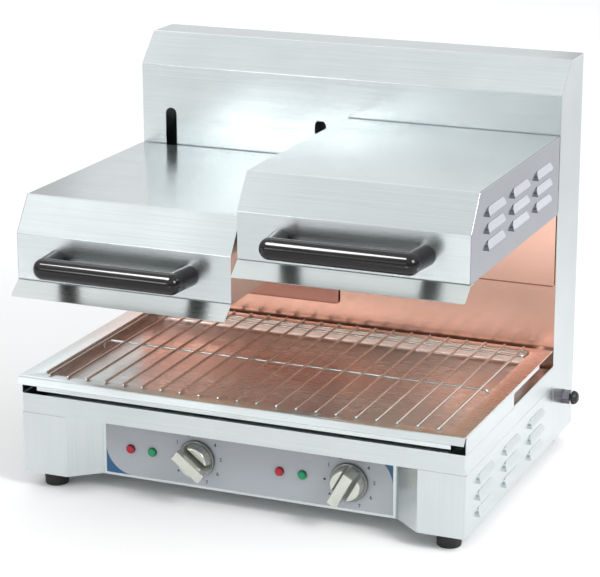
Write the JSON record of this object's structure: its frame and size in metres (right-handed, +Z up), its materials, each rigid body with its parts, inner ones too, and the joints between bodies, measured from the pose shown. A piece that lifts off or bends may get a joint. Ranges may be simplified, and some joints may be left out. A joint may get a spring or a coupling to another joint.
{
  "type": "lift salamander grill",
  "caption": "Countertop lift salamander grill: stainless base cabinet and rear column, separately raised heater heads, wire rack over a drip tray.",
  "frame": {"origin": "on the table, under the middle of the whole outline box", "axes": "+X to the right seen from the front, +Y from the controls to the rear column, +Z up"},
  "size_m": [0.626, 0.5073, 0.5335],
  "materials": {
    "satin_steel": "satin brushed",
    "polished_steel": "polished",
    "plain_steel": "zinc plated",
    "bright_wire": "bright",
    "heater_sheath": "heat darkened",
    "black_bakelite": "gloss",
    "black_rubber": "matte",
    "black_plastic": "matte",
    "ivory_plastic": "matte",
    "silver_plastic": "metallic satin",
    "grey_film": "satin film",
    "red_lens": "gloss",
    "green_lens": "gloss",
    "ceramic_wool": "fibrous"
  },
  "bodies": {
    "cabinet": {"base_floor": "satin_steel", "left_base_side": "satin_steel", "right_base_side": "satin_steel", "left_pillar": "satin_steel", "right_pillar": "satin_steel", "band_frame": "satin_steel", "left_wall": "satin_steel", "right_wall": "satin_steel", "tray_rails": "plain_steel", "base_deck": "satin_steel", "control_panel": "satin_steel", "control_overlay": "grey_film", "feet": "black_rubber", "foot_screws": "plain_steel", "left_column_side": "satin_steel", "right_column_side": "satin_steel", "column_front": "satin_steel", "column_cap": "satin_steel", "rear_cover": "satin_steel", "rear_screws": "plain_steel", "guide_rods": "plain_steel", "rod_crossbars": "plain_steel", "strut_bodies": "plain_steel", "thermostats": "ivory_plastic", "power_lamps": "red_lens", "ready_lamps": "green_lens", "cutout_switch": "black_plastic", "cutout_nut": "plain_steel", "cutout_cap": "black_plastic"},
    "left_head": {"left_hood": "satin_steel", "left_hood_side": "satin_steel", "left_skirt": "polished_steel", "left_handle": "black_bakelite", "left_handle_screws": "plain_steel", "left_rear_shield": "polished_steel", "left_reflector": "polished_steel", "left_insulation": "ceramic_wool", "left_element": "heater_sheath", "left_element_hangers": "plain_steel", "left_carriage": "plain_steel", "left_strut_rod": "plain_steel"},
    "right_head": {"right_hood": "satin_steel", "right_hood_side": "satin_steel", "right_skirt": "polished_steel", "right_handle": "black_bakelite", "right_handle_screws": "plain_steel", "right_rear_shield": "polished_steel", "right_reflector": "polished_steel", "right_insulation": "ceramic_wool", "right_element": "heater_sheath", "right_element_hangers": "plain_steel", "right_carriage": "plain_steel", "right_strut_rod": "plain_steel"},
    "left_knob_set": {"left_knob": "silver_plastic", "left_spindle": "plain_steel"},
    "right_knob_set": {"right_knob": "silver_plastic", "right_spindle": "plain_steel"},
    "tray": {"drip_tray": "polished_steel"},
    "rack": {"wire_rack": "bright_wire"}
  },
  "joints": [
    {"name": "left_head_lift", "type": "slide", "parent": "cabinet", "child": "left_head", "axis": [0, 0, 1], "range_m": [-0.077, 0.07]},
    {"name": "right_head_lift", "type": "slide", "parent": "cabinet", "child": "right_head", "axis": [0, 0, 1], "range_m": [-0.135, 0.012]},
    {"name": "left_knob_turn", "type": "hinge", "parent": "cabinet", "child": "left_knob_set", "pos_m": [-0.0765, -0.18155, 0.0615], "axis": [0, 1, 0], "range_deg": [-220, 105]},
    {"name": "right_knob_turn", "type": "hinge", "parent": "cabinet", "child": "right_knob_set", "pos_m": [0.1305, -0.18155, 0.0615], "axis": [0, 1, 0], "range_deg": [-301, 24]},
    {"name": "tray_slide", "type": "slide", "parent": "cabinet", "child": "tray", "axis": [0, -1, 0], "range_m": [0, 0.3]},
    {"name": "rack_lift", "type": "slide", "parent": "tray", "child": "rack", "axis": [0, 0, 1], "range_m": [0, 0.02]}
  ]
}
